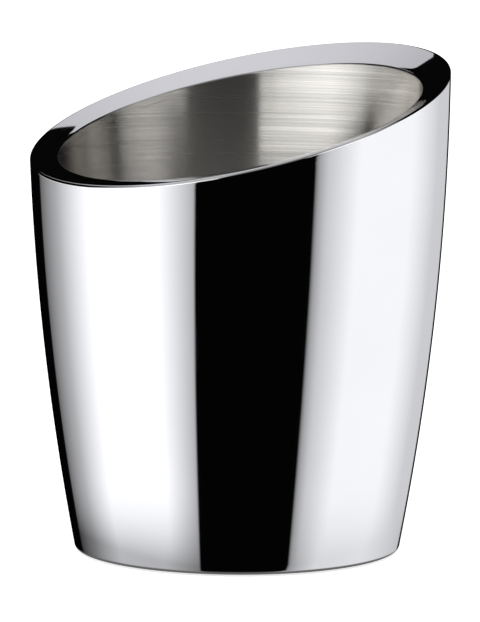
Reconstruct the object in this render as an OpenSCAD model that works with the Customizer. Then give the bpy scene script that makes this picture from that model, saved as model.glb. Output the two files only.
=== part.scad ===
// Champagne bucket with two walls and a slanted rim, on its own base.
// Frame: origin on the axis at the resting plane, +Z up, +X towards the high side of the rim.

/* [Outer wall] */
// Outer diameter at the widest level
body_d = 211.2; // [150:0.1:300]
// Height of the widest level, where the wall stands upright
widest_z = 252; // [200:1:320]
// Radius of the long arc that the wall follows from top to bottom
wall_arc_r = 1336; // [900:1:4000]
// Sheet thickness of the outer shell
shell_t = 0.8; // [0.6:0.1:1.5]
// Rounding where the shell turns in under the base
base_corner_r = 2.5; // [1.5:0.1:6]
// Width of the flange that the shell turns in under the base
base_flange_w = 12; // [8:0.5:20]

/* [Rim] */
// Height of the rim's crest plane on the axis
rim_mid_z = 220.9; // [180:0.1:260]
// Slant of the rim's crest, in degrees from level
rim_slant = 16.9; // [0:0.1:20]
// Slant of the rim's inner lip, in degrees from level, at most 2 less than the crest's
lip_slant = 15.6; // [0:0.1:20]
// Width of the rim, from the outer wall to the inside of the liner
rim_w = 14.2; // [10:0.1:20]
// Fall of the band towards the liner, in degrees, halfway between the low and the high side
rim_fall = 19; // [8:0.5:25]
// Sheet thickness of the rim band
rim_t = 0.8; // [0.6:0.1:1]
// Rounding of the rim's outer edge
rim_edge_r = 1.2; // [1.2:0.1:5]
// Rounding of the rim's inner lip
rim_lip_r = 1.2; // [1.2:0.1:4]
// Upright skirt of the band below each rounding
rim_skirt_h = 3; // [2:0.1:6]

/* [Liner] */
// Sheet thickness of the liner
liner_t = 0.7; // [0.5:0.1:1.5]
// Height of the liner's floor above the resting plane, on its upper face
liner_floor_z = 18; // [14:0.5:40]
// Rounding between the liner's floor and its wall
liner_corner_r = 14; // [6:0.5:30]

/* [Base] */
// Gap that the foot ring leaves under the shell
foot_gap = 0.8; // [0.4:0.1:2]
// Sheet thickness of the base plate
plate_t = 1.2; // [0.8:0.1:2]
// Diameter of the base plate
plate_d = 152; // [148:0.5:154]
// Outer diameter of the foot ring
foot_d = 134; // [100:1:136]
// Width of the foot ring
foot_w = 10; // [5:0.5:20]
// Diameter of the pad under the liner's floor
pad_d = 100; // [60:1:110]
// Diameter of the vent hole in the base plate
vent_d = 8; // [4:0.5:12]
// Distance of the vent hole from the axis
vent_x = 30; // [20:1:40]
// Width of the vent plug's head beyond its hole
vent_head_w = 3; // [2:0.5:5]
// Thickness of the vent plug's head
vent_head_t = 0.8; // [0.4:0.1:1]

/* [Welds] */
// Height of each weld bead along the wall
bead_h = 2.4; // [1.5:0.1:3]
// How far each weld bead stands off the wall
bead_t = 0.9; // [0.5:0.1:1.2]

/* [Hidden] */

slope = tan(rim_slant);
lip_slope = tan(lip_slant);
wall_arc_x = body_d / 2 - wall_arc_r;
rim_steps = 96;
wall_steps = 24;
corner_steps = 4;
bead_steps = 4;
revolve_fn = 180;
tool_size = 400;

// Where the upright skirts of the rim band end, below rim_mid_z on the axis
shell_top_drop = rim_edge_r + rim_skirt_h;
lip_centre = rim_lip_centre();
liner_top_drop = rim_skirt_h - lip_centre[1];

flange_z = foot_gap + shell_t;
plate_top_z = flange_z + plate_t;
flange_r = wall_r(foot_gap) - base_corner_r - base_flange_w;

// Radius of the wall's arc at a height, moved in square to the wall by inset
function wall_r(z, inset = 0) =
    wall_arc_x + sqrt(pow(wall_arc_r - inset, 2) - pow(widest_z - z, 2));

// Slope of the band at inset: the crest's at its outer rounding, the lip's at its inner one
function band_slope(inset) =
    slope + (lip_slope - slope)
        * min(1, max(0, (inset - rim_edge_r) / (rim_w - rim_lip_r - rim_edge_r)));

// Height at x of a plane through rim_mid_z on the axis with slope s, moved up by rise
function plane_z(x, s, rise) = rim_mid_z + s * x + rise;

// Radius at angle a where the arc moved in by inset meets that plane
function rim_r(a, inset, s, rise, r = body_d / 2, passes = 3) =
    passes == 0 ? r
        : rim_r(a, inset, s, rise, wall_r(plane_z(r * cos(a), s, rise), inset), passes - 1);

// Point of the rim at angle a: inset in from the wall, rise above the band's own plane there
function rim_point(a, inset, rise) =
    let (s = band_slope(inset), r = rim_r(a, inset, s, rise))
    [r * cos(a), r * sin(a), plane_z(r * cos(a), s, rise)];

// Centre of the lip's rounding, so that the band's straight fall touches both roundings
function rim_lip_centre() =
    let (across = rim_w - rim_lip_r - rim_edge_r,
        along = (across - (rim_edge_r - rim_lip_r) * sin(rim_fall)) / cos(rim_fall))
    [rim_w - rim_lip_r,
        -rim_edge_r + (rim_edge_r - rim_lip_r) * cos(rim_fall) - along * sin(rim_fall)];

// Arc in [inset, rise] from angle a0 to a1
function arc(centre, r, a0, a1) =
    [for (i = [0:corner_steps])
        let (a = a0 + (a1 - a0) * i / corner_steps)
        centre + r * [cos(a), sin(a)]];

// One face of the band from skirt to skirt; depth 0 is its polished outside, rim_t its inside
function band_line(depth) = concat(
    [[depth, -shell_top_drop]],
    arc([rim_edge_r, -rim_edge_r], rim_edge_r - depth, 180, 90 - rim_fall),
    arc(lip_centre, rim_lip_r - depth, 90 - rim_fall, 0),
    [[rim_w - depth, -liner_top_drop]]
);

function reversed(list) = [for (i = [len(list) - 1:-1:0]) list[i]];

// Half-round bead over a joint at rise, from a sheet's face at inset low up to the band's face at
// inset high; side 1 swells towards the axis and -1 away from it
function bead_line(low, high, rise, side) = concat(
    [for (i = [0:bead_steps])
        let (a = -90 + 180 * i / bead_steps)
        [low + (high - low) * i / bead_steps + side * bead_t * cos(a), rise + bead_h / 2 * sin(a)]],
    low == high ? [] : [[high, rise], [low, rise]]
);

// Outline in [radius, height] from start_r along a floor, round its corner and up to top_z
function vessel_line(inset, floor_z, corner_r, start_r, top_z) =
    let (arc_r = wall_arc_r - inset,
        lean = asin((widest_z - floor_z - corner_r) / (arc_r - corner_r)),
        corner_x = wall_arc_x + (arc_r - corner_r) * cos(lean),
        foot_z = widest_z - arc_r * sin(lean))
    concat(
        [[start_r, floor_z]],
        arc([corner_x, floor_z + corner_r], corner_r, -90, -lean),
        [for (i = [1:wall_steps])
            let (z = foot_z + (top_z - foot_z) * i / wall_steps)
            [wall_r(z, inset), z]]
    );

// Closed ring along the slanted rim, from an outline in [inset, rise]
module rim_sweep(outline) {
    n = len(outline);
    points = [for (i = [0:rim_steps - 1])
        for (p = outline)
            rim_point(360 * i / rim_steps, p[0], p[1])];
    faces = [for (i = [0:rim_steps - 1])
        for (j = [0:n - 1])
            let (i2 = (i + 1) % rim_steps, j2 = (j + 1) % n)
            [i * n + j, i * n + j2, i2 * n + j2, i2 * n + j]];
    polyhedron(points = points, faces = faces, convexity = 6);
}

// Drawn sheet turned about the axis and trimmed along a plane at slant, drop below rim_mid_z
module trimmed_vessel(outer_line, inner_line, slant, drop) {
    difference() {
        rotate_extrude($fn = revolve_fn)
            polygon(concat(outer_line, reversed(inner_line)));
        translate([0, 0, rim_mid_z - drop])
            rotate([0, -slant, 0])
                translate([-tool_size / 2, -tool_size / 2, 0])
                    cube(tool_size);
    }
}

// Outer wall: long bulging arc, turned in under the base to carry the plate
module outer_shell() {
    color("gainsboro")
        trimmed_vessel(
            vessel_line(0, foot_gap, base_corner_r, flange_r, widest_z + 1),
            vessel_line(shell_t, flange_z, base_corner_r - shell_t, flange_r, widest_z + 1),
            rim_slant, shell_top_drop
        );
}

// Pressed band that bridges the two walls round the slanted mouth
module rim_band() {
    color("lightgray")
        rim_sweep(concat(band_line(0), reversed(band_line(rim_t))));
}

// Drawn cup inside, its wall flush with the band's lip
module inner_liner() {
    color("darkgray")
        trimmed_vessel(
            vessel_line(rim_w - liner_t, liner_floor_z - liner_t, liner_corner_r + liner_t, 0, widest_z + 1),
            vessel_line(rim_w, liner_floor_z, liner_corner_r, 0, widest_z + 1),
            lip_slant, liner_top_drop
        );
}

// Bead inside the joint of shell and band, where the outside is ground flush
module shell_rim_weld() {
    color("dimgray")
        rim_sweep(bead_line(shell_t, rim_t, -shell_top_drop, 1));
}

// Bead on the hidden side of the joint of liner and band
module liner_rim_weld() {
    color("dimgray")
        rim_sweep(reversed(bead_line(rim_w - liner_t, rim_w - rim_t, -liner_top_drop, -1)));
}

// Disc that lies on the shell's flange and closes the double wall
module base_plate() {
    color("silver")
        difference() {
            translate([0, 0, flange_z])
                cylinder(d = plate_d, h = plate_t, $fn = revolve_fn);
            translate([-vent_x, 0, flange_z - plate_t])
                cylinder(d = vent_d, h = 3 * plate_t, $fn = revolve_fn);
        }
}

// Fillet weld in the corner of plate and flange
module base_weld() {
    color("dimgray")
        rotate_extrude($fn = revolve_fn)
            translate([plate_d / 2, flange_z])
                polygon([[0, 0], [plate_t, 0], [0, plate_t]]);
}

// Plug pressed into the vent hole from below, its head within the recess of the foot ring
module vent_plug() {
    color("black")
        translate([-vent_x, 0, flange_z]) {
            cylinder(d = vent_d, h = plate_t, $fn = revolve_fn);
            translate([0, 0, -vent_head_t])
                cylinder(d = vent_d + 2 * vent_head_w, h = vent_head_t, $fn = revolve_fn);
        }
}

// Foam pad that carries the liner's floor on the plate
module liner_pad() {
    color("dimgray")
        translate([0, 0, plate_top_z])
            cylinder(d = pad_d, h = liner_floor_z - liner_t - plate_top_z, $fn = revolve_fn);
}

// Non-slip ring stuck under the plate, just proud of the shell
module foot_ring() {
    color("black")
        rotate_extrude($fn = revolve_fn)
            translate([foot_d / 2 - foot_w, 0])
                square([foot_w, flange_z]);
}

outer_shell();
rim_band();
inner_liner();
shell_rim_weld();
liner_rim_weld();
base_plate();
base_weld();
vent_plug();
liner_pad();
foot_ring();
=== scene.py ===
# %% [markdown]
# # A champagne bucket with a slanted rim
# The bucket is two steel walls joined by a broad band round a mouth that is cut on a slant. Outside it
# is polished to a mirror, inside it is brushed in rings. A mirror has no look of its own: it shows
# the room, so the last part of this lesson builds a studio of light panels round it.

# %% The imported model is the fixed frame
import math

import bmesh
import bpy
from mathutils import Matrix, Vector


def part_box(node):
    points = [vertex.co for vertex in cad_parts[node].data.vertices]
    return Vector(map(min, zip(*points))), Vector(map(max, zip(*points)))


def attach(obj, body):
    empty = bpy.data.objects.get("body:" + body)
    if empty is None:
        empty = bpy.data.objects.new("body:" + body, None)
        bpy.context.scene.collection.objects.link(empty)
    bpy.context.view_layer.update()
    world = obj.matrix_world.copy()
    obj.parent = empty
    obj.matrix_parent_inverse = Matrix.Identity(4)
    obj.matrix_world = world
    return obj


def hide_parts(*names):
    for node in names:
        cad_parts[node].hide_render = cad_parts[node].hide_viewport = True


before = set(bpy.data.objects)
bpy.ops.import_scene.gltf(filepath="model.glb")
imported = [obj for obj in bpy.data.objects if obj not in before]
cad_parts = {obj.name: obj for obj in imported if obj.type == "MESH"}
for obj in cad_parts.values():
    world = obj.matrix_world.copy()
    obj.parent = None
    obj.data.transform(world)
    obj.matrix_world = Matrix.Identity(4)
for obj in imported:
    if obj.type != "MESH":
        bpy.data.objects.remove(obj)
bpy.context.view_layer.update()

MM = 0.001
print("CAD nodes:", sorted(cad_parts))

# %% [markdown]
# ## The sizes that drive every piece
# The walls follow one long arc, so a few numbers give the whole bucket. They are the design's own
# sizes. The places that the frame can tell, such as how high the shell stands, are read from it.

# %% Driving sizes
BELLY_R = 105.6 * MM
WALL_ARC_R = 1336 * MM
WIDEST_Z = 252 * MM
RIM_MID_Z = 220.9 * MM
RIM_SLANT = math.radians(16.9)
LIP_SLANT = math.radians(15.6)
RIM_W = 14.2 * MM
RIM_FALL = math.radians(19)
RIM_T = 0.8 * MM
EDGE_R = 1.2 * MM
LIP_R = 1.2 * MM
SKIRT_H = 3.0 * MM
SHELL_T = 0.8 * MM
LINER_T = 0.7 * MM
BASE_CORNER_R = 2.5 * MM
BASE_FLANGE_W = 12 * MM
LINER_CORNER_R = 14 * MM

SLOPE = math.tan(RIM_SLANT)
LIP_FOLLOW = math.tan(LIP_SLANT) / SLOPE
WALL_ARC_X = BELLY_R - WALL_ARC_R
SHELL_FOOT_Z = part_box("outer_shell")[0].z
LINER_FLOOR_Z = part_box("inner_liner")[0].z + LINER_T
print("shell stands", round(SHELL_FOOT_Z / MM, 2), "mm up, liner floor at", round(LINER_FLOOR_Z / MM, 2))

# %% [markdown]
# ## One rule for the whole outline
# Each point of an outline has three numbers: how far it lies in from the outer arc, its height on the
# bucket's axis, and how much it follows the slant, from 0 at the base to 1 at the crest. The inner
# lip leans a degree less than the crest, so there it is a little under 1. A point on the sheet then
# lands in the right place at any angle, and the rings of the mesh lean gradually from the level base
# up to the slanted mouth.

# %% Outline helpers
def wall_r(z, inset=0.0):
    return WALL_ARC_X + math.sqrt((WALL_ARC_R - inset) ** 2 - (WIDEST_Z - z) ** 2)


def inset_of(r, z):
    return WALL_ARC_R - math.hypot(r - WALL_ARC_X, z - WIDEST_Z)


def slanted_point(turn, inset, height, follow):
    lean = SLOPE * follow * math.cos(turn)
    drop = height - WIDEST_Z
    b = WALL_ARC_X - lean * drop
    c = WALL_ARC_X ** 2 + drop ** 2 - (WALL_ARC_R - inset) ** 2
    r = (b + math.sqrt(b * b - (1 + lean * lean) * c)) / (1 + lean * lean)
    return Vector((r * math.cos(turn), r * math.sin(turn), height + lean * r))


def arc(centre, radius, start, end, steps):
    turns = [start + (end - start) * i / steps for i in range(steps + 1)]
    return [(centre[0] + radius * math.cos(t), centre[1] + radius * math.sin(t)) for t in turns]


def vessel_line(inset, floor_z, corner_r, start_r, top, wall_steps, floor_steps=1, corner_steps=10):
    """From start_r out along a floor, round its corner and up the wall to top: height and follow."""
    arc_r = WALL_ARC_R - inset
    lean = math.asin((WIDEST_Z - floor_z - corner_r) / (arc_r - corner_r))
    corner_x = WALL_ARC_X + (arc_r - corner_r) * math.cos(lean)
    foot_z = WIDEST_Z - arc_r * math.sin(lean)
    floor = [(start_r + (corner_x - start_r) * i / floor_steps, floor_z) for i in range(floor_steps)]
    corner = arc((corner_x, floor_z + corner_r), corner_r, -math.pi / 2, -lean, corner_steps)
    line = [(inset_of(r, z), z, 0.0) for r, z in floor + corner]
    for i in range(1, wall_steps + 1):
        t = i / wall_steps
        line.append((inset, foot_z + (top[0] - foot_z) * t, top[1] * t))
    return line


print("wall radius at foot, middle, rim:",
      [round(wall_r(z) / MM, 1) for z in (SHELL_FOOT_Z, RIM_MID_Z / 2, RIM_MID_Z)])

# %% [markdown]
# ## One small function for nodes
# Geometry and material trees are both built from nodes. This one call adds a node, sets its
# properties, and fills its inputs with values or with links from other nodes.

# %% Node and tree helpers
def node(tree, kind, inputs=None, **settings):
    new = tree.nodes.new(kind)
    for name, value in settings.items():
        setattr(new, name, value)
    for socket, value in (inputs or {}).items():
        if isinstance(value, bpy.types.NodeSocket):
            tree.links.new(value, new.inputs[socket])
        else:
            new.inputs[socket].default_value = value
    return new


def geometry_tree(name, numbers):
    """An empty geometry tree with named inputs: a mesh, these numbers and a material."""
    tree = bpy.data.node_groups.new(name, "GeometryNodeTree")
    tree.interface.new_socket("Geometry", in_out="OUTPUT", socket_type="NodeSocketGeometry")
    tree.interface.new_socket("Geometry", in_out="INPUT", socket_type="NodeSocketGeometry")
    for label, kind in numbers.items():
        tree.interface.new_socket(label, in_out="INPUT", socket_type=kind)
    tree.interface.new_socket("Material", in_out="INPUT", socket_type="NodeSocketMaterial")
    return tree, node(tree, "NodeGroupInput").outputs


def close_tree(tree, geometry, material):
    """Every tree ends the same way: instances made real, then the material."""
    real = node(tree, "GeometryNodeRealizeInstances", {"Geometry": geometry})
    painted = node(tree, "GeometryNodeSetMaterial", {"Geometry": real.outputs[0], "Material": material})
    node(tree, "NodeGroupOutput", {"Geometry": painted.outputs[0]})


def grown(name, points, closed, tree, values):
    """Runs a tree on a line of points and returns the result as a plain mesh object."""
    line = bpy.data.meshes.new(name + "_line")
    edges = [(i, i + 1) for i in range(len(points) - 1)]
    if closed:
        edges.append((len(points) - 1, 0))
    line.from_pydata(points, edges, [])
    holder = bpy.data.objects.new(name + "_line", line)
    bpy.context.scene.collection.objects.link(holder)
    modifier = holder.modifiers.new(name, "NODES")
    modifier.node_group = tree
    for item in tree.interface.items_tree:
        if item.in_out == "INPUT" and item.name in values:
            modifier[item.identifier] = values[item.name]
    graph = bpy.context.evaluated_depsgraph_get()
    mesh = bpy.data.meshes.new_from_object(holder.evaluated_get(graph))
    bpy.data.objects.remove(holder)
    mesh.name = name
    piece = bpy.data.objects.new(name, mesh)
    bpy.context.scene.collection.objects.link(piece)
    return piece


def face_outwards(piece, sharp_degrees):
    shape = bmesh.new()
    shape.from_mesh(piece.data)
    bmesh.ops.recalc_face_normals(shape, faces=shape.faces)
    open_edges = sum(1 for e in shape.edges if not e.is_manifold)
    shape.to_mesh(piece.data)
    shape.free()
    piece.data.shade_smooth()
    piece.data.set_sharp_from_angle(angle=math.radians(sharp_degrees))
    print(piece.name, len(piece.data.polygons), "faces,", open_edges, "open edges")


# %% [markdown]
# ## Colours and the shader
# Colours are written as sRGB hex and turned to linear light once, here. Every metal below keeps
# the default IOR: a metal's brightness comes from its base colour.

# %% Colour and shader helpers
def linear(hex_colour):
    parts = [int(hex_colour[i:i + 2], 16) / 255 for i in (1, 3, 5)]
    curve = [c / 12.92 if c <= 0.04045 else ((c + 0.055) / 1.055) ** 2.4 for c in parts]
    return (*curve, 1.0)


def new_material(name):
    material = bpy.data.materials.new(name)
    material.use_nodes = True
    tree = material.node_tree
    tree.nodes.clear()
    shader = node(tree, "ShaderNodeBsdfPrincipled")
    node(tree, "ShaderNodeOutputMaterial", {"Surface": shader.outputs[0]})
    return material, tree, shader


# %% [markdown]
# ## Mirror-polished stainless steel
# The shell and the band are 18/10 stainless steel, buffed with ever finer compounds until the
# brushing is gone. What is left are hairlines too fine to count, a slow waviness of the sheet of a
# few hundredths of a millimetre, and faint clouds where a cloth has wiped it. Roughness stays near
# zero, so edges in the reflection stay crisp and only bend a little with the waviness.

# %% Polished steel
HAIRLINE_PER_M = 900
WAVE_PER_M = 14
CLOUD_PER_M = 22


def polished_steel():
    material, tree, shader = new_material("mirror_polished_stainless")
    shader.inputs["Metallic"].default_value = 1.0
    place = node(tree, "ShaderNodeTexCoord").outputs["Object"]
    clouds = node(tree, "ShaderNodeTexNoise", {"Vector": place, "Scale": CLOUD_PER_M, "Detail": 4.0})
    along = node(tree, "ShaderNodeMapping", {"Vector": place, "Scale": (40.0, 40.0, HAIRLINE_PER_M)})
    hairs = node(tree, "ShaderNodeTexNoise", {"Vector": along.outputs[0], "Scale": 1.0, "Detail": 3.0})
    wiped = node(tree, "ShaderNodeMapRange", {
        "Value": clouds.outputs["Fac"], "From Min": 0.35, "From Max": 0.75, "To Min": 0.018, "To Max": 0.04})
    scratched = node(tree, "ShaderNodeMath", {
        0: hairs.outputs["Fac"], 1: 0.012, 2: wiped.outputs[0]}, operation="MULTIPLY_ADD")
    tint = node(tree, "ShaderNodeMix", {
        "Factor": clouds.outputs["Fac"], "A": linear("#F1F1F3"), "B": linear("#F8F8F9")}, data_type="RGBA")
    waves = node(tree, "ShaderNodeTexNoise", {"Vector": place, "Scale": WAVE_PER_M, "Detail": 1.0})
    sheet = node(tree, "ShaderNodeBump", {
        "Height": waves.outputs["Fac"], "Strength": 1.0, "Distance": 0.03 * MM})
    polish = node(tree, "ShaderNodeBump", {
        "Height": hairs.outputs["Fac"], "Strength": 0.03, "Distance": 0.01 * MM,
        "Normal": sheet.outputs[0]})
    tree.links.new(tint.outputs["Result"], shader.inputs["Base Color"])
    tree.links.new(scratched.outputs[0], shader.inputs["Roughness"])
    tree.links.new(polish.outputs[0], shader.inputs["Normal"])
    return material


POLISHED = polished_steel()
print("made", POLISHED.name)

# %% [markdown]
# ## Satin stainless steel, brushed in rings
# The liner is spun against an abrasive belt, so its scratches run round the axis. Such a surface
# smears a reflection across the scratches and keeps it sharp along them: light and dark stand in
# it as upright columns. That is anisotropy. Its tangent runs round the Z axis, and a quarter turn of
# its rotation sets the smear across the scratches. Real 180 grit leaves lines about 0.1 mm apart. They
# are drawn about 0.8 mm apart here, so that they show.
# Height and distance from the axis are added up, so the lines run as rings on the floor too.

# %% Satin steel
RING_SPACING = 0.8 * MM


def satin_steel(name, dark, light, roughness, anisotropy):
    material, tree, shader = new_material(name)
    shader.inputs["Metallic"].default_value = 1.0
    shader.inputs["Anisotropic"].default_value = anisotropy
    shader.inputs["Anisotropic Rotation"].default_value = 0.25
    place = node(tree, "ShaderNodeTexCoord").outputs["Object"]
    axes = node(tree, "ShaderNodeSeparateXYZ", {0: place})
    flat = node(tree, "ShaderNodeCombineXYZ", {0: axes.outputs[0], 1: axes.outputs[1]})
    reach = node(tree, "ShaderNodeVectorMath", {0: flat.outputs[0]}, operation="LENGTH")
    travel = node(tree, "ShaderNodeMath", {0: axes.outputs[2], 1: reach.outputs["Value"]}, operation="ADD")
    ring = node(tree, "ShaderNodeCombineXYZ", {0: axes.outputs[0], 1: axes.outputs[1], 2: travel.outputs[0]})
    stretched = node(tree, "ShaderNodeMapping", {
        "Vector": ring.outputs[0], "Scale": (7.0, 7.0, 1 / RING_SPACING)})
    lines = node(tree, "ShaderNodeTexNoise", {
        "Vector": stretched.outputs[0], "Scale": 1.0, "Detail": 3.0, "Roughness": 0.6})
    broad = node(tree, "ShaderNodeMapping", {
        "Vector": ring.outputs[0], "Scale": (5.0, 5.0, 0.16 / RING_SPACING)})
    bands = node(tree, "ShaderNodeTexNoise", {"Vector": broad.outputs[0], "Scale": 1.0, "Detail": 2.0})
    mixed = node(tree, "ShaderNodeMath", {
        0: bands.outputs["Fac"], 1: 0.45, 2: lines.outputs["Fac"]}, operation="MULTIPLY_ADD")
    shade = node(tree, "ShaderNodeMapRange", {"Value": mixed.outputs[0], "From Min": 0.5, "From Max": 0.95})
    tint = node(tree, "ShaderNodeMix", {
        "Factor": shade.outputs[0], "A": linear(dark), "B": linear(light)}, data_type="RGBA")
    rough = node(tree, "ShaderNodeMapRange", {
        "Value": mixed.outputs[0], "From Min": 0.5, "From Max": 0.95,
        "To Min": roughness + 0.03, "To Max": roughness - 0.03})
    grooves = node(tree, "ShaderNodeBump", {
        "Height": lines.outputs["Fac"], "Strength": 0.25, "Distance": 0.008 * MM})
    around = node(tree, "ShaderNodeTangent", direction_type="RADIAL", axis="Z")
    tree.links.new(tint.outputs["Result"], shader.inputs["Base Color"])
    tree.links.new(rough.outputs[0], shader.inputs["Roughness"])
    tree.links.new(grooves.outputs[0], shader.inputs["Normal"])
    tree.links.new(around.outputs[0], shader.inputs["Tangent"])
    return material


SATIN = satin_steel("ring_brushed_stainless", "#D8D6D2", "#EAE8E5", 0.25, 0.95)
PLATE = satin_steel("rolled_base_sheet", "#A9A8A6", "#C6C5C3", 0.42, 0.5)
print("made", SATIN.name, "and", PLATE.name)

# %% [markdown]
# ## The finishes nobody sees
# A weld is steel that has melted and frozen in ripples, and its oxide tints it from straw to
# blue. The foot ring and the vent plug are moulded rubber with a fine matt grain. The pad is
# closed-cell foam, whose cut cells show as small dimples.

# %% Weld, rubber and foam
def weld_steel():
    material, tree, shader = new_material("heat_tinted_weld")
    shader.inputs["Metallic"].default_value = 1.0
    place = node(tree, "ShaderNodeTexCoord").outputs["Object"]
    heat = node(tree, "ShaderNodeTexNoise", {"Vector": place, "Scale": 60.0, "Detail": 3.0})
    tint = node(tree, "ShaderNodeValToRGB", {"Fac": heat.outputs["Fac"]})
    tint.color_ramp.elements[0].color = linear("#6E6A66")
    tint.color_ramp.elements[0].position = 0.35
    tint.color_ramp.elements[1].color = linear("#5B6372")
    tint.color_ramp.elements[1].position = 0.7
    tint.color_ramp.elements.new(0.5).color = linear("#8A7354")
    oxide = node(tree, "ShaderNodeMapRange", {
        "Value": heat.outputs["Fac"], "To Min": 0.3, "To Max": 0.55})
    tree.links.new(tint.outputs["Color"], shader.inputs["Base Color"])
    tree.links.new(oxide.outputs[0], shader.inputs["Roughness"])
    return material


def grained(name, dark, light, cell, depth, roughness):
    """A matt moulded or cut surface whose grain is cells of the given size."""
    material, tree, shader = new_material(name)
    place = node(tree, "ShaderNodeTexCoord").outputs["Object"]
    cells = node(tree, "ShaderNodeTexVoronoi", {"Vector": place, "Scale": 1 / cell})
    dust = node(tree, "ShaderNodeTexNoise", {"Vector": place, "Scale": 80.0, "Detail": 4.0})
    tint = node(tree, "ShaderNodeMix", {
        "Factor": dust.outputs["Fac"], "A": linear(dark), "B": linear(light)}, data_type="RGBA")
    rough = node(tree, "ShaderNodeMapRange", {
        "Value": dust.outputs["Fac"], "To Min": roughness - 0.08, "To Max": roughness + 0.08})
    grain = node(tree, "ShaderNodeBump", {
        "Height": cells.outputs["Distance"], "Strength": 0.6, "Distance": depth})
    tree.links.new(tint.outputs["Result"], shader.inputs["Base Color"])
    tree.links.new(rough.outputs[0], shader.inputs["Roughness"])
    tree.links.new(grain.outputs[0], shader.inputs["Normal"])
    return material


WELD = weld_steel()
RUBBER = grained("moulded_rubber", "#17181A", "#242527", 0.5 * MM, 0.05 * MM, 0.7)
FOAM = grained("closed_cell_foam", "#3A3B3E", "#4B4C50", 1.2 * MM, 0.4 * MM, 0.85)
print("made", WELD.name, RUBBER.name, FOAM.name)

# %% [markdown]
# ## A tree that turns an outline on the slant
# Shell, band and liner are spun or pressed round one axis and trimmed along one sloping plane. A
# lathe modifier can't lean its rings, so Geometry Nodes carry the outline round a circle and put
# each point where the rule says. The points where the wall's arc meets the sloping plane come
# from one quadratic, the same one as in slanted_point above.

# %% The turning tree
def turning_tree():
    tree, given = geometry_tree("turned_on_the_slant", {
        "Belly radius": "NodeSocketFloat", "Wall arc radius": "NodeSocketFloat",
        "Widest height": "NodeSocketFloat", "Slope": "NodeSocketFloat", "Steps around": "NodeSocketInt"})
    math_kind = "ShaderNodeMath"
    outline = node(tree, "GeometryNodeMeshToCurve", {"Mesh": given["Geometry"]})
    place = node(tree, "GeometryNodeInputPosition")
    kept_outline = tree.nodes.new("GeometryNodeCaptureAttribute")
    kept_outline.capture_items.new("VECTOR", "Outline")
    tree.links.new(outline.outputs[0], kept_outline.inputs[0])
    tree.links.new(place.outputs[0], kept_outline.inputs[1])

    ring = node(tree, "GeometryNodeCurvePrimitiveCircle", {
        "Resolution": given["Steps around"], "Radius": 1.0})
    index = node(tree, "GeometryNodeInputIndex")
    share = node(tree, math_kind, {0: index.outputs[0], 1: given["Steps around"]}, operation="DIVIDE")
    turn = node(tree, math_kind, {0: share.outputs[0], 1: 2 * math.pi}, operation="MULTIPLY")
    kept_turn = tree.nodes.new("GeometryNodeCaptureAttribute")
    kept_turn.capture_items.new("FLOAT", "Turn")
    tree.links.new(ring.outputs[0], kept_turn.inputs[0])
    tree.links.new(turn.outputs[0], kept_turn.inputs[1])
    skin = node(tree, "GeometryNodeCurveToMesh", {0: kept_turn.outputs[0], 1: kept_outline.outputs[0]})

    own = node(tree, "ShaderNodeSeparateXYZ", {0: kept_outline.outputs[1]}).outputs
    cosine = node(tree, math_kind, {0: kept_turn.outputs[1]}, operation="COSINE").outputs[0]
    sine = node(tree, math_kind, {0: kept_turn.outputs[1]}, operation="SINE").outputs[0]
    follow = node(tree, math_kind, {0: own[2], 1: given["Slope"]}, operation="MULTIPLY").outputs[0]
    lean = node(tree, math_kind, {0: follow, 1: cosine}, operation="MULTIPLY").outputs[0]
    drop = node(tree, math_kind, {0: own[1], 1: given["Widest height"]}, operation="SUBTRACT").outputs[0]
    arc_r = node(tree, math_kind, {0: given["Wall arc radius"], 1: own[0]}, operation="SUBTRACT").outputs[0]
    centre = node(tree, math_kind, {
        0: given["Belly radius"], 1: given["Wall arc radius"]}, operation="SUBTRACT").outputs[0]
    slip = node(tree, math_kind, {0: lean, 1: drop}, operation="MULTIPLY").outputs[0]
    b = node(tree, math_kind, {0: centre, 1: slip}, operation="SUBTRACT").outputs[0]
    drop_2 = node(tree, math_kind, {0: drop, 1: drop}, operation="MULTIPLY").outputs[0]
    near = node(tree, math_kind, {0: centre, 1: arc_r}, operation="SUBTRACT").outputs[0]
    far = node(tree, math_kind, {0: centre, 1: arc_r}, operation="ADD").outputs[0]
    c = node(tree, math_kind, {0: near, 1: far, 2: drop_2}, operation="MULTIPLY_ADD").outputs[0]
    q = node(tree, math_kind, {0: lean, 1: lean, 2: 1.0}, operation="MULTIPLY_ADD").outputs[0]
    qc = node(tree, math_kind, {0: q, 1: c}, operation="MULTIPLY").outputs[0]
    b_2 = node(tree, math_kind, {0: b, 1: b}, operation="MULTIPLY").outputs[0]
    inside = node(tree, math_kind, {0: b_2, 1: qc}, operation="SUBTRACT").outputs[0]
    root = node(tree, math_kind, {0: inside}, operation="SQRT").outputs[0]
    top = node(tree, math_kind, {0: b, 1: root}, operation="ADD").outputs[0]
    r = node(tree, math_kind, {0: top, 1: q}, operation="DIVIDE").outputs[0]
    x = node(tree, math_kind, {0: r, 1: cosine}, operation="MULTIPLY").outputs[0]
    y = node(tree, math_kind, {0: r, 1: sine}, operation="MULTIPLY").outputs[0]
    z = node(tree, math_kind, {0: lean, 1: r, 2: own[1]}, operation="MULTIPLY_ADD").outputs[0]
    goal = node(tree, "ShaderNodeCombineXYZ", {0: x, 1: y, 2: z})
    put = node(tree, "GeometryNodeSetPosition", {"Geometry": skin.outputs[0], "Position": goal.outputs[0]})
    closed = node(tree, "GeometryNodeMergeByDistance", {"Geometry": put.outputs[0], "Distance": 0.002 * MM})
    close_tree(tree, closed.outputs[0], given["Material"])
    return tree


TURNING = turning_tree()
print("turning tree has", len(TURNING.nodes), "nodes")


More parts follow.
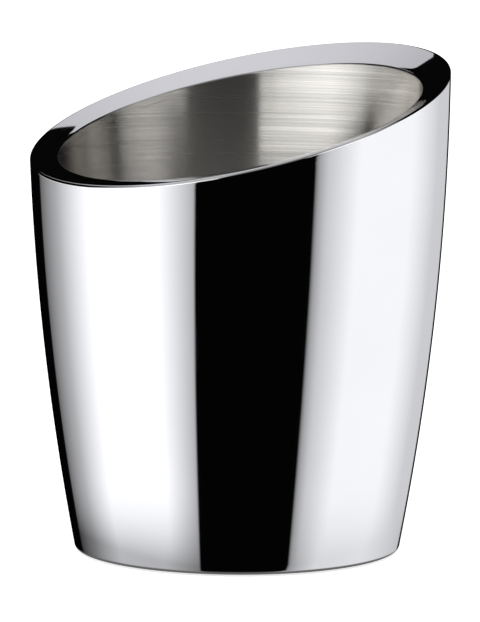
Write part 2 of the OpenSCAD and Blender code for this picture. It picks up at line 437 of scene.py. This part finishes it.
def turned(name, outline, closed, steps, material):
    piece = grown(name, outline, closed, TURNING, {
        "Belly radius": BELLY_R, "Wall arc radius": WALL_ARC_R, "Widest height": WIDEST_Z,
        "Slope": SLOPE, "Steps around": steps, "Material": material})
    face_outwards(piece, 40)
    return piece


# %% [markdown]
# ## The outer shell
# On the real bucket a disc of steel is deep drawn to a cup, spun out to this flare, and its edge
# trimmed on the slant. At the foot it turns in through a tight corner to a flange that carries
# the base plate. A mirror shows every flat in a mesh, so the wall has many rows.

# %% Polished shell
SHELL_DROP = EDGE_R + SKIRT_H
FLANGE_R = wall_r(SHELL_FOOT_Z) - BASE_CORNER_R - BASE_FLANGE_W
shell_top = (RIM_MID_Z - SHELL_DROP, 1.0)
outside = vessel_line(0.0, SHELL_FOOT_Z, BASE_CORNER_R, FLANGE_R, shell_top, 72)
inside = vessel_line(SHELL_T, SHELL_FOOT_Z + SHELL_T, BASE_CORNER_R - SHELL_T, FLANGE_R, shell_top, 24)
shell = turned("polished_shell", outside + inside[::-1], True, 360, POLISHED)

# %% [markdown]
# ## The slanted rim band
# A pressed channel bridges the two walls. Its outer edge is rolled round, it falls gently towards
# the ice, and a small round lip turns it down into the liner. It meets the shell 4 mm below
# the crest, where the real joint is welded and ground away, so both share the same ring there.
# The belt that brushes the liner also catches the lip's upright side, so that side is satin.

# %% Rim band
BRUSHED_LIP = 0.25 * MM


def follow_at(inset):
    """Full slant at the outer rounding, the lip's own slant at the inner one."""
    inwards = (inset - EDGE_R) / (RIM_W - LIP_R - EDGE_R)
    return 1 + (LIP_FOLLOW - 1) * min(1.0, max(0.0, inwards))


def band_line(depth):
    across = RIM_W - LIP_R - EDGE_R
    along = (across - (EDGE_R - LIP_R) * math.sin(RIM_FALL)) / math.cos(RIM_FALL)
    lip = (RIM_W - LIP_R, -EDGE_R + (EDGE_R - LIP_R) * math.cos(RIM_FALL) - along * math.sin(RIM_FALL))
    tilt = math.pi / 2 - RIM_FALL
    edge_arc = arc((EDGE_R, -EDGE_R), EDGE_R - depth, math.pi, tilt, 18)
    lip_arc = arc(lip, LIP_R - depth, tilt, 0.0, 14)
    skirt = [(depth, -SHELL_DROP + SKIRT_H * i / 3) for i in range(3)]
    flat = [(edge_arc[-1][0] + (lip_arc[0][0] - edge_arc[-1][0]) * i / 8,
             edge_arc[-1][1] + (lip_arc[0][1] - edge_arc[-1][1]) * i / 8) for i in range(1, 8)]
    end = [(RIM_W - depth, lip[1] - SKIRT_H * i / 3) for i in range(1, 4)]
    return [(inset, RIM_MID_Z + rise, follow_at(inset)) for inset, rise in
            skirt + edge_arc + flat + lip_arc + end]


top_line = band_line(0.0)
liner_top = (top_line[-1][1], LIP_FOLLOW)
band = turned("polished_rim", top_line + band_line(RIM_T)[::-1], True, 360, POLISHED)
band.data.materials.append(SATIN)
brushed = 0
for face in band.data.polygons:
    x, y, z = face.center
    if inset_of(math.hypot(x, y), z) > RIM_W - BRUSHED_LIP:
        face.material_index = 1
        brushed += 1
print(brushed, "faces of the lip are brushed")
print("liner meets the lip", round((RIM_MID_Z - liner_top[0]) / MM, 2), "mm below the crest")

# %% [markdown]
# ## The liner
# The inner cup is drawn in one piece with a generous corner for easy wiping, then satin brushed
# while it turns. Its outline starts and ends on the axis, so the tree closes it at two poles.

# %% Satin liner
cup_in = vessel_line(RIM_W, LINER_FLOOR_Z, LINER_CORNER_R, 0.0, liner_top, 64, 14, 14)
cup_out = vessel_line(RIM_W - LINER_T, LINER_FLOOR_Z - LINER_T, LINER_CORNER_R + LINER_T, 0.0,
                      liner_top, 24, 6, 8)
liner = turned("satin_liner", cup_in + cup_out[::-1], False, 288, SATIN)

# %% [markdown]
# ## Weld ripples
# A TIG weld freezes in overlapping ripples, like a row of tipped coins. Geometry Nodes lay one low
# ripple after another along the seam. Three seams hold the bucket: shell to band, liner to band,
# and base plate to flange. The first two follow the slant.

# %% The ripple tree
RIPPLE_PITCH = 1.4 * MM


def ripple_tree():
    tree, given = geometry_tree("weld_ripples", {
        "Pitch": "NodeSocketFloat", "Size": "NodeSocketVector"})
    seam = node(tree, "GeometryNodeMeshToCurve", {"Mesh": given["Geometry"]})
    spaced = node(tree, "GeometryNodeResampleCurve", {
        "Curve": seam.outputs[0], "Length": given["Pitch"]}, mode="LENGTH")
    tangent = node(tree, "GeometryNodeInputTangent")
    facing = node(tree, "FunctionNodeAlignRotationToVector", {"Vector": tangent.outputs[0]}, axis="X")
    ripple = node(tree, "GeometryNodeMeshUVSphere", {"Segments": 8, "Rings": 5, "Radius": 1.0})
    laid = node(tree, "GeometryNodeInstanceOnPoints", {
        "Points": spaced.outputs[0], "Instance": ripple.outputs["Mesh"],
        "Rotation": facing.outputs[0], "Scale": given["Size"]})
    close_tree(tree, laid.outputs[0], given["Material"])
    return tree


RIPPLES = ripple_tree()


def weld(name, seam_points):
    piece = grown(name, seam_points, True, RIPPLES, {
        "Pitch": RIPPLE_PITCH, "Size": (1.1 * MM, 0.8 * MM, 1.1 * MM), "Material": WELD})
    piece.data.shade_smooth()
    print(name, len(piece.data.polygons), "faces")
    return piece


def seam_on_slant(inset, top):
    turns = [2 * math.pi * i / 240 for i in range(240)]
    return [slanted_point(t, inset, *top) for t in turns]


def level_seam(radius, height):
    turns = [2 * math.pi * i / 180 for i in range(180)]
    return [Vector((radius * math.cos(t), radius * math.sin(t), height)) for t in turns]


plate_low, plate_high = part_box("base_plate")
shell_weld = weld("shell_seam_weld", seam_on_slant(SHELL_T + 0.3 * MM, shell_top))
liner_weld = weld("liner_seam_weld", seam_on_slant(RIM_W - RIM_T - 0.2 * MM, liner_top))
plate_weld = weld("plate_seam_weld", level_seam(plate_high.x + 0.2 * MM, plate_low.z + 0.6 * MM))

# %% [markdown]
# ## Riding, replacing and finishes
# Nothing on the bucket moves, so every piece rides on the one body. The CAD nodes of the base keep
# their shape and only get their finish.

# %% Tie the pieces to the frame
for piece, cad_node, slot in (
    (shell, "outer_shell", "polished_steel"),
    (band, "rim_band", "polished_steel"),
    (liner, "inner_liner", "satin_steel"),
    (shell_weld, "shell_rim_weld", "weld_steel"),
    (liner_weld, "liner_rim_weld", "weld_steel"),
    (plate_weld, "base_weld", "weld_steel"),
):
    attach(piece, "root")
    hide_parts(cad_node)

for cad_node, material in (
    ("base_plate", PLATE), ("vent_plug", RUBBER), ("liner_pad", FOAM), ("foot_ring", RUBBER),
):
    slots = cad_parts[cad_node].data.materials
    slots.clear()
    slots.append(material)
print("pieces tied")

# %% [markdown]
# ## Camera
# A long lens from a little above the rim, turned so that the high side of the mouth is at the back
# right. The camera leans by a third of a degree.

# %% Camera
VIEW_TURN = math.radians(-46.0)
VIEW_RISE = math.radians(6.29)
VIEW_DISTANCE = 1.8616
AIM = Vector((0, 0, 0.1248))
ROLL = 0.0052
back_flat = Vector((math.sin(VIEW_TURN), -math.cos(VIEW_TURN), 0))
right = Vector((math.cos(VIEW_TURN), math.sin(VIEW_TURN), 0))
back = back_flat * math.cos(VIEW_RISE) + Vector((0, 0, math.sin(VIEW_RISE)))
up = back.cross(right)
lens = bpy.data.cameras.new("product_lens")
lens.lens = 214.4
lens.shift_x = 0.003
lens.shift_y = -0.0137
camera = bpy.data.objects.new("camera", lens)
axes = Matrix((right, up, back)).transposed()
camera.matrix_world = (Matrix.Translation(AIM + back * VIEW_DISTANCE)
                       @ axes.to_4x4() @ Matrix.Rotation(ROLL, 4, "Z"))
bpy.context.scene.collection.objects.link(camera)
bpy.context.scene.camera = camera
print("camera stands at", [round(v, 3) for v in camera.matrix_world.translation])

# %% [markdown]
# ## Floor
# A pale sheet that glows a little, as a lit table does, and takes the soft shadow at the foot. It is
# kept out of mirror reflections, as if the bucket stood on a small plinth, so that the light panels
# run in the steel right down to the base.

# %% Floor
def lit_table():
    material, tree, shader = new_material("pale_lit_table")
    shader.inputs["Roughness"].default_value = 0.9
    shader.inputs["Specular IOR Level"].default_value = 0.0
    place = node(tree, "ShaderNodeTexCoord").outputs["Object"]
    fibres = node(tree, "ShaderNodeTexNoise", {"Vector": place, "Scale": 40.0, "Detail": 3.0})
    tint = node(tree, "ShaderNodeMix", {
        "Factor": fibres.outputs["Fac"], "A": linear("#F2F2F2"), "B": linear("#F5F5F5")}, data_type="RGBA")
    tree.links.new(tint.outputs["Result"], shader.inputs["Base Color"])
    shader.inputs["Emission Color"].default_value = linear("#FFFFFF")
    shader.inputs["Emission Strength"].default_value = 0.65
    return material


floor_mesh = bpy.data.meshes.new("floor")
reach = 40.0
floor_mesh.from_pydata([(-reach, -reach, 0), (reach, -reach, 0), (reach, reach, 0), (-reach, reach, 0)],
                       [], [(0, 1, 2, 3)])
floor_mesh.materials.append(lit_table())
floor = bpy.data.objects.new("floor", floor_mesh)
bpy.context.scene.collection.objects.link(floor)
floor.visible_glossy = False
print("floor laid")

# %% [markdown]
# ## The studio in the steel
# The world here is the room that the mirror shows: a ring of light panels round the table, seen by
# direction. Angles go round from the camera's side, positive to its right, and heights are the
# upright part of the direction, from -1 to 1. A dark gap lies behind the camera, a big panel on each
# side of it, and a dark screen stands far behind on the left. Each panel is a few greys at chosen
# angles: how bright the steel should look there, with white for a panel that outshines it. Walls of
# cool daylight stand round a slightly warmer strip.
# Near the floor the panels fade, and straight below it is dim under the base. Level with the rim a
# brighter strip lights the satin liner. A pale ceiling over the screen shows in the slanted rim.
# Camera and diffuse rays see a plain pale world instead, so the table stays evenly lit.

# %% Light panels
PANEL_GAIN = 1.18
STEEL_REFLECTS = 0.9
PANEL_EDGE = 1.5
PANEL_LEAN = -0.0287
PANEL_SHIFT = 0.003
COOL = (0.97, 0.975, 1.0)
WARM = (1.0, 0.99, 0.96)

UPPER_PANELS = [
    [(-142, "#686868"), (-120, "#B0B0B0"), (-92, "#FFFFFF"), (-45, "#FFFFFF"), (-24, "#B4B4B4")],
    [(44, "#989898"), (50, "#C8C8C8"), (70, "#F8F8F8"), (110, "#F8F8F8"), (140, "#CCCCCC"),
     (162, "#C8C8C8")]]
FOOT_PANELS = [
    [(-142, "#383838"), (-120, "#747474"), (-90, "#B8B8B8"), (-50, "#B0B0B0"), (-24, "#787878")],
    [(44, "#909090"), (50, "#B0B0B0"), (65, "#D8D8D8"), (105, "#E0E0E0"), (162, "#BCBCBC")]]

STRIP_GAIN = 2.5
STRIP_PANELS = [
    [(-140, "#585858"), (-120, "#A0A0A0"), (-100, "#BCBCBC"), (-60, "#FFFFFF"), (-14, "#E8E8E8")],
    [(35, "#A8A8A8"), (45, "#F8F8F8"), (58, "#F8F8F8"), (76, "#6C6C6C"), (90, "#B4B4B4"),
     (112, "#484848"), (135, "#0C0C0C")]]
HIGH_PANELS = [
    [(-105, "#101010"), (-88, "#B0B0B0"), (-65, "#F0F0F0"), (-30, "#E8E8E8"), (-14, "#C0C0C0")],
    [(36, "#8C8C8C"), (55, "#C0C0C0"), (80, "#7C7C7C"), (98, "#101010")]]

FADE = (-0.29, -0.3675)
UNDER_BASE = (-0.5, -0.85)
STRIP_START = (-0.05, -0.03)
STRIP_END = (0.06, 0.1)
HIGH_DIMMING = (0.1, 0.95)
CEILING_SHADE = (0.5, 0.93)
BEHIND_BLEND = 0.05


def panel_ramp(tree, around, panels, tint):
    """Light round the table by angle: dark, but for the panels, each with soft ends of its own."""
    stops = [(-180, "#030303")]
    for panel in panels:
        stops.append((panel[0][0] - PANEL_EDGE, "#030303"))
        stops.extend(panel)
        stops.append((panel[-1][0] + PANEL_EDGE, "#030303"))
    stops.append((180, "#030303"))
    ramp = node(tree, "ShaderNodeValToRGB", {"Fac": around})
    elements = ramp.color_ramp.elements
    while len(elements) < len(stops):
        elements.new(0.5)
    for element, (angle, _) in zip(elements, stops):
        element.position = 0.5 + angle / 360
    for element, (_, shown) in zip(elements, stops):
        full = 1.0 if shown == "#FFFFFF" else linear(shown)[0] / (PANEL_GAIN * STEEL_REFLECTS)
        element.color = (*[full * share for share in tint], 1.0)
    return ramp.outputs["Color"]


def between(tree, value, ends):
    """From 0 at the first end to 1 at the second, and no further."""
    return node(tree, "ShaderNodeMapRange", {
        "Value": value, "From Min": ends[0], "From Max": ends[1]}).outputs[0]


def studio():
    world = bpy.data.worlds.new("light_panels")
    bpy.context.scene.world = world
    world.use_nodes = True
    tree = world.node_tree
    tree.nodes.clear()
    kind = "ShaderNodeMath"
    look = node(tree, "ShaderNodeTexCoord").outputs["Generated"]
    faced = node(tree, "ShaderNodeMapping", {
        "Vector": look, "Rotation": (0.0, 0.0, math.pi / 2 - VIEW_TURN)})
    axes = node(tree, "ShaderNodeSeparateXYZ", {0: faced.outputs[0]}).outputs
    around = node(tree, "ShaderNodeTexGradient", {"Vector": faced.outputs[0]}, gradient_type="RADIAL")
    # The upright edges of the panels lean a little: lower down they lie further left.
    leaned = node(tree, kind, {
        0: axes[2], 1: PANEL_LEAN, 2: around.outputs["Fac"]}, operation="MULTIPLY_ADD")
    shifted = node(tree, kind, {0: leaned.outputs[0], 1: PANEL_SHIFT}, operation="SUBTRACT").outputs[0]
    upper = panel_ramp(tree, shifted, UPPER_PANELS, COOL)
    foot = panel_ramp(tree, shifted, FOOT_PANELS, COOL)
    # The fade to the floor follows the height on the wall that shows it.
    half_turn = node(tree, kind, {0: around.outputs["Fac"], 1: math.pi}, operation="MULTIPLY")
    facing = node(tree, kind, {0: half_turn.outputs[0]}, operation="SINE")
    safe = node(tree, kind, {0: facing.outputs[0], 1: 0.05}, operation="MAXIMUM")
    lifted = node(tree, kind, {0: axes[2], 1: 0.16}, operation="ADD")
    depth = node(tree, kind, {0: lifted.outputs[0], 1: safe.outputs[0]}, operation="DIVIDE").outputs[0]
    fade = node(tree, kind, {0: between(tree, depth, FADE), 1: 2.0}, operation="POWER")
    faded = node(tree, "ShaderNodeMix", {
        "Factor": fade.outputs[0], "A": upper, "B": foot}, data_type="RGBA").outputs["Result"]
    walls = node(tree, "ShaderNodeMix", {
        "Factor": between(tree, depth, UNDER_BASE), "A": faded, "B": linear("#606060")},
        data_type="RGBA").outputs["Result"]
    # Level with the rim a bright strip lights the liner. Above it the front panels fade upwards.
    strip = panel_ramp(tree, around.outputs["Fac"], STRIP_PANELS, WARM)
    bright = node(tree, "ShaderNodeMix", {
        "Factor": 1.0, "A": strip, "B": (STRIP_GAIN, STRIP_GAIN, STRIP_GAIN, 1.0)},
        data_type="RGBA", blend_type="MULTIPLY").outputs["Result"]
    low = node(tree, "ShaderNodeMix", {
        "Factor": between(tree, axes[2], STRIP_START), "A": walls, "B": bright},
        data_type="RGBA").outputs["Result"]
    over_strip = panel_ramp(tree, around.outputs["Fac"], HIGH_PANELS, COOL)
    high = node(tree, "ShaderNodeMix", {
        "Factor": between(tree, axes[2], HIGH_DIMMING), "A": over_strip, "B": linear("#909090")},
        data_type="RGBA").outputs["Result"]
    in_front = between(tree, axes[0], (-BEHIND_BLEND, BEHIND_BLEND))
    high_front = node(tree, "ShaderNodeMix", {
        "Factor": in_front, "A": linear("#050505"), "B": high}, data_type="RGBA").outputs["Result"]
    panels = node(tree, "ShaderNodeMix", {
        "Factor": between(tree, axes[2], STRIP_END), "A": low, "B": high_front},
        data_type="RGBA").outputs["Result"]

    # Over the dark screen behind, the pale ceiling starts at a broken line, lower at both ends.
    def sloped(slope, height):
        return node(tree, kind, {0: axes[1], 1: slope, 2: height}, operation="MULTIPLY_ADD").outputs[0]

    def pick(which, one, other):
        return node(tree, kind, {0: one, 1: other}, operation=which).outputs[0]

    left = pick("MAXIMUM", pick("MINIMUM", sloped(-8.0, 0.636), sloped(1.2, 0.657)), sloped(1.2, 0.6))
    right = pick("MAXIMUM", pick("MINIMUM", sloped(6.0, 2.53), sloped(0.0, 0.6)), sloped(-1.6, -0.1))
    line = pick("MAXIMUM", left, right)
    over = node(tree, kind, {0: axes[2], 1: line}, operation="SUBTRACT").outputs[0]
    above = between(tree, over, (0.0, 0.006))
    ceiling = node(tree, "ShaderNodeMix", {
        "Factor": between(tree, axes[2], CEILING_SHADE), "A": linear("#ACACB0"), "B": linear("#C8C8CC")},
        data_type="RGBA")
    behind = between(tree, axes[0], (BEHIND_BLEND, -BEHIND_BLEND))
    ceiling_here = node(tree, kind, {0: above, 1: behind}, operation="MULTIPLY")
    lit = node(tree, "ShaderNodeMix", {
        "Factor": ceiling_here.outputs[0], "A": panels, "B": ceiling.outputs["Result"]}, data_type="RGBA")

    shine = node(tree, "ShaderNodeBackground", {"Color": lit.outputs["Result"], "Strength": PANEL_GAIN})
    plain = node(tree, "ShaderNodeBackground", {"Color": linear("#F4F4F4"), "Strength": 1.0})
    rays = node(tree, "ShaderNodeLightPath").outputs
    soft = node(tree, kind, {0: rays["Is Camera Ray"], 1: rays["Is Diffuse Ray"]}, operation="MAXIMUM")
    seen = node(tree, "ShaderNodeMixShader", {0: soft.outputs[0], 1: shine.outputs[0], 2: plain.outputs[0]})
    node(tree, "ShaderNodeOutputWorld", {"Surface": seen.outputs[0]})
    return world


studio()
bpy.context.scene.view_settings.view_transform = "Standard"
print("studio lit")
